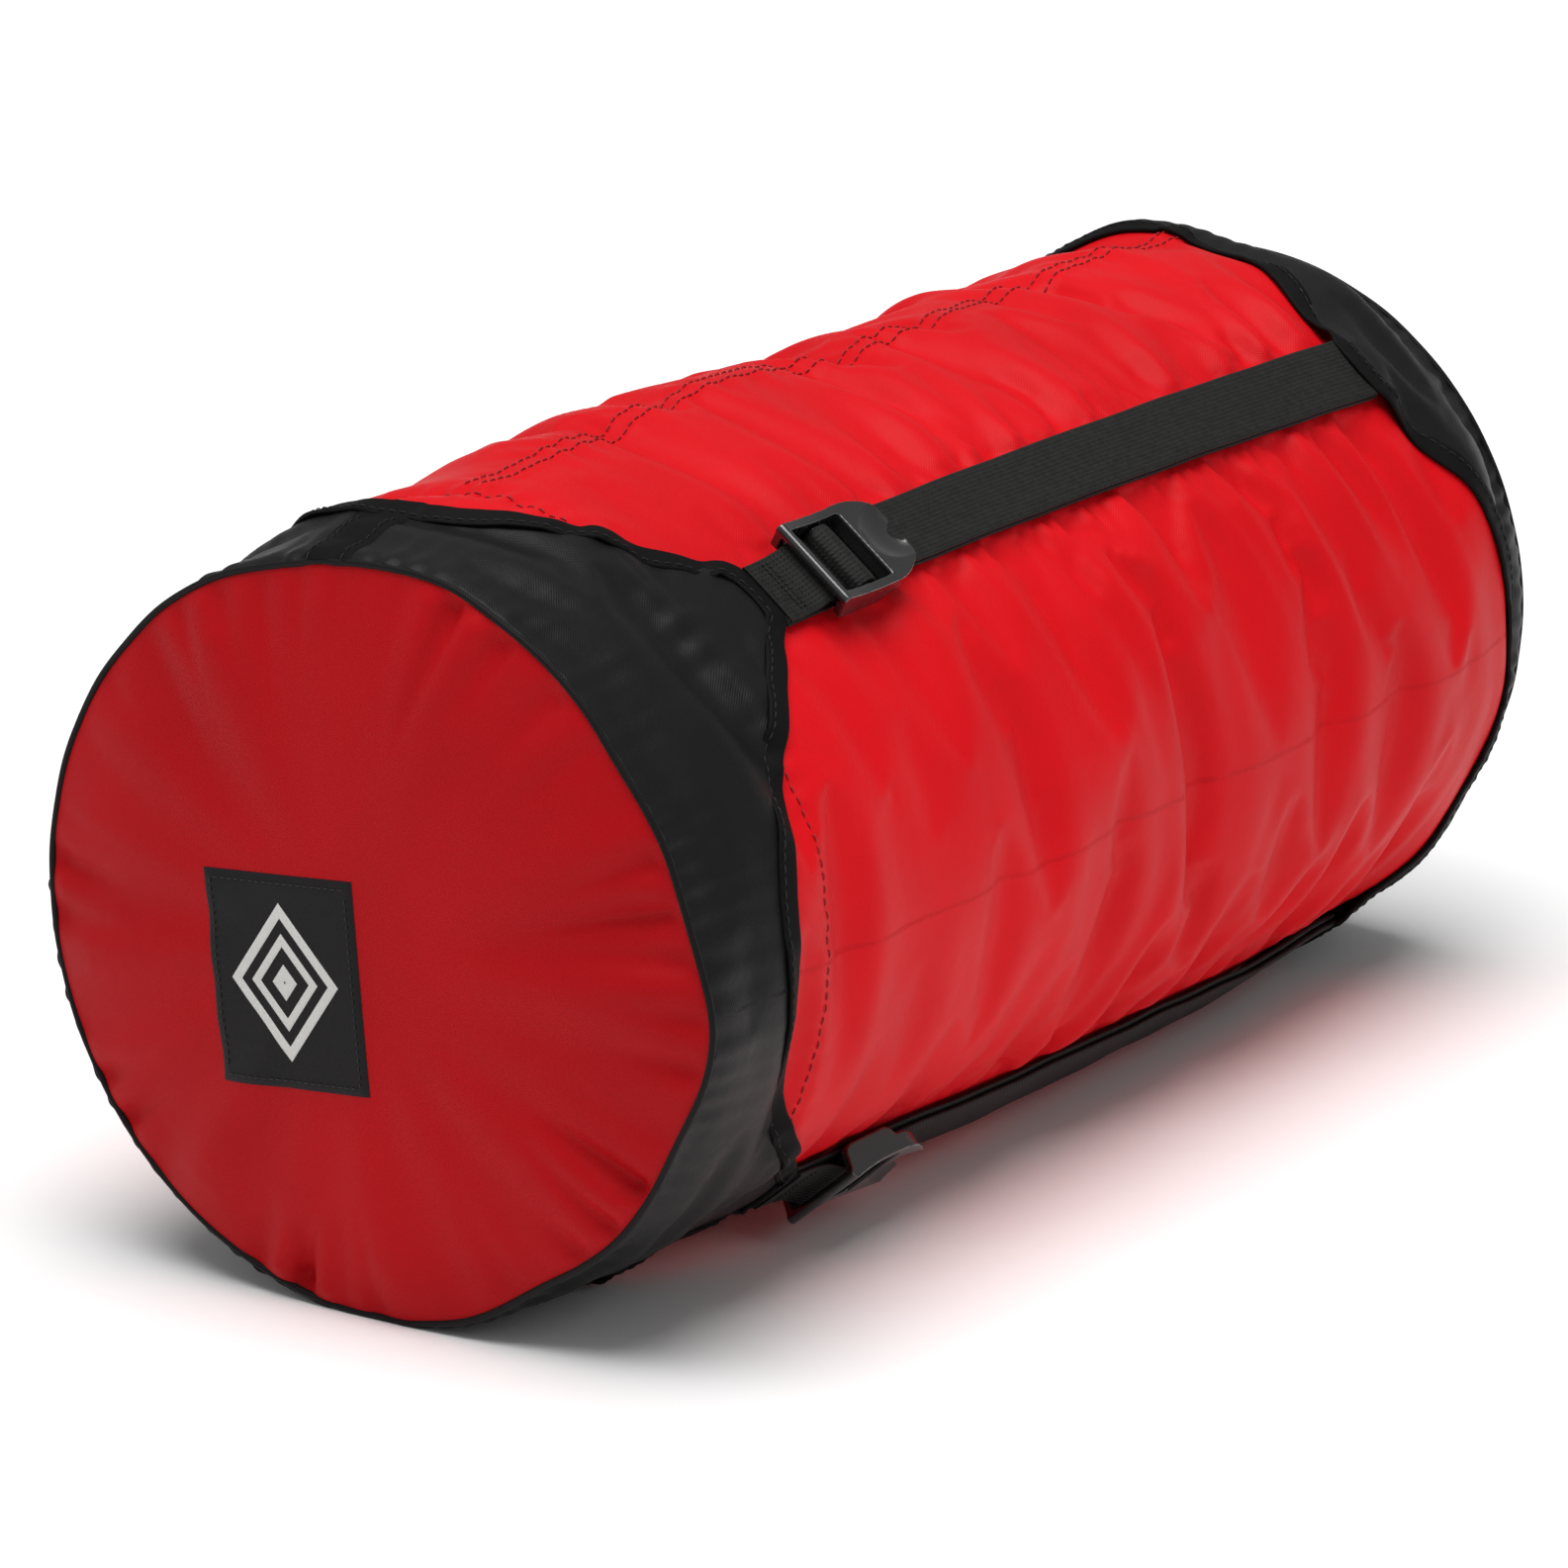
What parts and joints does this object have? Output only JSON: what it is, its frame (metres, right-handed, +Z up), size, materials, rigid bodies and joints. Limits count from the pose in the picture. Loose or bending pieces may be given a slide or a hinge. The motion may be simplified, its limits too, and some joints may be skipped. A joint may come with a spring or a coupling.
{
  "type": "compression sack",
  "caption": "Cylindrical compression sack with a scalloped strap-on lid, webbing straps through ladder-lock buckles, a cinched drawcord mouth and a haul handle.",
  "frame": {"origin": "on the ground under the middle of the whole length, where the sack's flat underside rests", "axes": "+Y from the lid to the bottom panel along the sack, +Z up"},
  "size_m": [0.2062, 0.4674, 0.2042],
  "materials": {
    "red_fabric": "matte coated nylon",
    "deep_red_fabric": "matte coated nylon",
    "black_fabric": "satin coated nylon",
    "piping": "satin",
    "binding": "satin tape",
    "webbing": "woven nylon webbing",
    "cord": "braided",
    "label": "woven label",
    "black_plastic": "glossy moulded acetal",
    "spring_steel": "plain"
  },
  "bodies": {
    "sack": {"body_tube": "red_fabric", "bottom_panel": "black_fabric", "bottom_piping": "piping", "bottom_skirt": "black_fabric", "bottom_edge_binding": "binding", "haul_handle_feet": "webbing", "load_strap_upper_right": "webbing", "load_strap_upper_left": "webbing", "load_strap_lower_left": "webbing", "load_strap_lower_right": "webbing"},
    "handle": {"haul_handle": "webbing"},
    "mouth": {"mouth_collar": "red_fabric", "drawcord": "cord", "cord_lock_barrel": "black_plastic", "cord_lock_spring": "spring_steel"},
    "plunger": {"cord_lock_plunger": "black_plastic"},
    "lid": {"lid_panel": "deep_red_fabric", "lid_piping": "piping", "lid_skirt": "black_fabric", "lid_edge_binding": "binding", "label_patch": "label", "lock_web_upper_right": "webbing", "lock_web_upper_left": "webbing", "lock_web_lower_left": "webbing", "lock_web_lower_right": "webbing"},
    "tails": {"strap_tail_upper_right": "webbing", "strap_tail_upper_left": "webbing", "strap_tail_lower_left": "webbing", "strap_tail_lower_right": "webbing"},
    "lock_upper_right": {"ladder_lock_upper_right": "black_plastic", "strap_bight_upper_right": "webbing"},
    "lock_upper_left": {"ladder_lock_upper_left": "black_plastic", "strap_bight_upper_left": "webbing"},
    "lock_lower_left": {"ladder_lock_lower_left": "black_plastic", "strap_bight_lower_left": "webbing"},
    "lock_lower_right": {"ladder_lock_lower_right": "black_plastic", "strap_bight_lower_right": "webbing"}
  },
  "joints": [
    {"name": "compress", "type": "slide", "parent": "sack", "child": "mouth", "axis": [0, 1, 0], "range_m": [0, 0.1], "deforming": ["body_tube", "load_strap_upper_right", "load_strap_upper_left", "load_strap_lower_left", "load_strap_lower_right"]},
    {"name": "lid_off", "type": "slide", "parent": "mouth", "child": "lid", "axis": [0, -1, 0], "range_m": [0, 0.14]},
    {"name": "tails_feed", "type": "slide", "parent": "lid", "child": "tails", "axis": [0, 1, 0], "range_m": [0, 0.1]},
    {"name": "handle_press", "type": "slide", "parent": "sack", "child": "handle", "axis": [0, -1, 0], "range_m": [0, 0.02], "stiffness_N_per_m": 60, "deforming": ["haul_handle"]},
    {"name": "cord_lock_press", "type": "slide", "parent": "mouth", "child": "plunger", "axis": [-1, 0, 0], "range_m": [0, 0.0036], "stiffness_N_per_m": 600, "deforming": ["cord_lock_spring"]},
    {"name": "lock_tilt_upper_right", "type": "hinge", "parent": "lid", "child": "lock_upper_right", "pos_m": [0.06489, -0.11638, 0.18406], "axis": [0.788, 0, -0.6157], "range_deg": [0, 35], "stiffness_Nm_per_rad": 0.004, "springref_deg": -34.38},
    {"name": "lock_tilt_upper_left", "type": "hinge", "parent": "lid", "child": "lock_upper_left", "pos_m": [-0.08306, -0.13538, 0.16589], "axis": [0.6157, 0, 0.788], "range_deg": [0, 35], "stiffness_Nm_per_rad": 0.004, "springref_deg": -34.38},
    {"name": "lock_tilt_lower_left", "type": "hinge", "parent": "lid", "child": "lock_lower_left", "pos_m": [-0.06489, -0.11638, 0.01794], "axis": [-0.788, 0, 0.6157], "range_deg": [0, 35], "stiffness_Nm_per_rad": 0.004, "springref_deg": -34.38},
    {"name": "lock_tilt_lower_right", "type": "hinge", "parent": "lid", "child": "lock_lower_right", "pos_m": [0.06775, -0.11638, 0.02026], "axis": [-0.766, 0, -0.6428], "range_deg": [0, 35], "stiffness_Nm_per_rad": 0.004, "springref_deg": -34.38}
  ],
  "couplings": [
    {"joint": "tails_feed", "follows": "compress", "ratio": 1}
  ]
}
